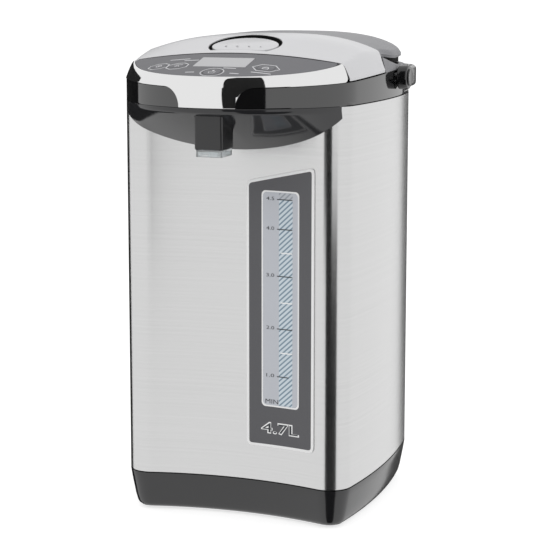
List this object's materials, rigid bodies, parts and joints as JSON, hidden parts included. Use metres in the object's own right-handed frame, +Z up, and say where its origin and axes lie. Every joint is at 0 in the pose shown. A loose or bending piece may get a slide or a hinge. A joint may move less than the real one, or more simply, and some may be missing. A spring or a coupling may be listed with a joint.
{
  "type": "electric airpot",
  "caption": "Electric airpot with a steel casing, a beak with keys, display and spout, a water gauge, a hinged lid with a release lever, and a folding handle.",
  "frame": {"origin": "bottom centre of the whole part's box, on the table that the rubber feet stand on", "axes": "+Z up; the front with the beak, the spout and the gauge faces -Y; +X is to the right of someone who faces the front"},
  "size_m": [0.2372, 0.2652, 0.4146],
  "materials": {
    "brushed_steel": "fine level brushing",
    "steel": "plain sheet",
    "dark_gloss": "gloss",
    "dark_matte": "satin",
    "black_gloss": "gloss",
    "chrome": "mirror",
    "gauge_grey": "gloss",
    "gauge_glass": "clear",
    "clear": "clear",
    "panel_grey": "satin",
    "display": "satin",
    "lid_silver": "satin",
    "cover_grey": "satin",
    "rubber": "matte",
    "silicone": "matte",
    "insulation": "felted",
    "cast_metal": "cast",
    "pale_plastic": "satin",
    "circuit": "satin",
    "rotor_blue": "satin"
  },
  "bodies": {
    "pot": {"base_housing": "dark_gloss", "bottom_cover": "dark_matte", "bottom_screws": "steel", "rubber_feet": "rubber", "chassis_plate": "steel", "outer_casing": "brushed_steel", "gauge_panel": "gauge_grey", "gauge_window": "gauge_glass", "sight_tube": "clear", "gauge_fitting_lower": "dark_matte", "gauge_fitting_upper": "dark_matte", "head_ring": "black_gloss", "rear_shoulders": "cover_grey", "chin_cover": "dark_gloss", "spout_housing": "dark_matte", "outlet_nozzle": "clear", "fascia": "chrome", "control_panel": "panel_grey", "display_window": "display", "control_board": "circuit", "latch_catch": "steel", "inner_tank": "steel", "tank_seal": "silicone", "tank_posts": "steel", "insulation_wrap": "insulation", "heater_plate": "cast_metal", "thermal_cutout": "pale_plastic", "temperature_sensor": "steel", "pump_housing": "pale_plastic", "pump_cover": "pale_plastic", "pump_motor": "steel", "suction_hose": "silicone", "delivery_hose": "silicone", "power_board": "circuit", "inlet_socket": "dark_matte", "inlet_pins": "steel", "hinge_pin": "steel", "handle_pins": "steel"},
    "lid": {"lid_cover": "lid_silver", "lid_rear_cover": "cover_grey", "lid_rear_skirt": "dark_matte", "lid_liner": "dark_matte", "lid_inner_plate": "steel", "lid_gasket": "silicone", "steam_valve": "pale_plastic", "lever_tray": "dark_matte", "lever_pin": "steel", "lever_spring": "steel"},
    "lever": {"lid_lever": "lid_silver", "latch_hook": "dark_matte"},
    "handle": {"bail_handle": "black_gloss", "handle_caps": "black_gloss"},
    "round_key": {"key_round": "panel_grey"},
    "right_key": {"key_right": "panel_grey"},
    "left_inner_key": {"key_left_inner": "panel_grey"},
    "left_outer_key": {"key_left_outer": "panel_grey"},
    "rotor": {"pump_rotor": "rotor_blue"}
  },
  "joints": [
    {"name": "lid_hinge", "type": "hinge", "parent": "pot", "child": "lid", "pos_m": [0, 0.1104, 0.392], "axis": [-1, 0, 0], "range_deg": [0, 75]},
    {"name": "lever_hinge", "type": "hinge", "parent": "lid", "child": "lever", "pos_m": [0, -0.05467, 0.40076], "axis": [1, 0, 0], "range_deg": [0, 20], "stiffness_Nm_per_rad": 0.3},
    {"name": "handle_hinge", "type": "hinge", "parent": "pot", "child": "handle", "pos_m": [0, 0.0524, 0.3765], "axis": [1, 0, 0], "range_deg": [0, 110]},
    {"name": "round_key_press", "type": "slide", "parent": "pot", "child": "round_key", "axis": [0, 0.2504, -0.9681], "range_m": [0, 0.0006], "stiffness_N_per_m": 400},
    {"name": "right_key_press", "type": "slide", "parent": "pot", "child": "right_key", "axis": [-0.0848, 0.2495, -0.9647], "range_m": [0, 0.0006], "stiffness_N_per_m": 400},
    {"name": "left_inner_key_press", "type": "slide", "parent": "pot", "child": "left_inner_key", "axis": [0.0806, 0.2496, -0.965], "range_m": [0, 0.0006], "stiffness_N_per_m": 400},
    {"name": "left_outer_key_press", "type": "slide", "parent": "pot", "child": "left_outer_key", "axis": [0.1183, 0.2486, -0.9614], "range_m": [0, 0.0006], "stiffness_N_per_m": 400},
    {"name": "rotor_spin", "type": "hinge", "parent": "pot", "child": "rotor", "pos_m": [-0.04, 0.0344, 0.065], "axis": [0, 0, 1], "continuous": true}
  ]
}
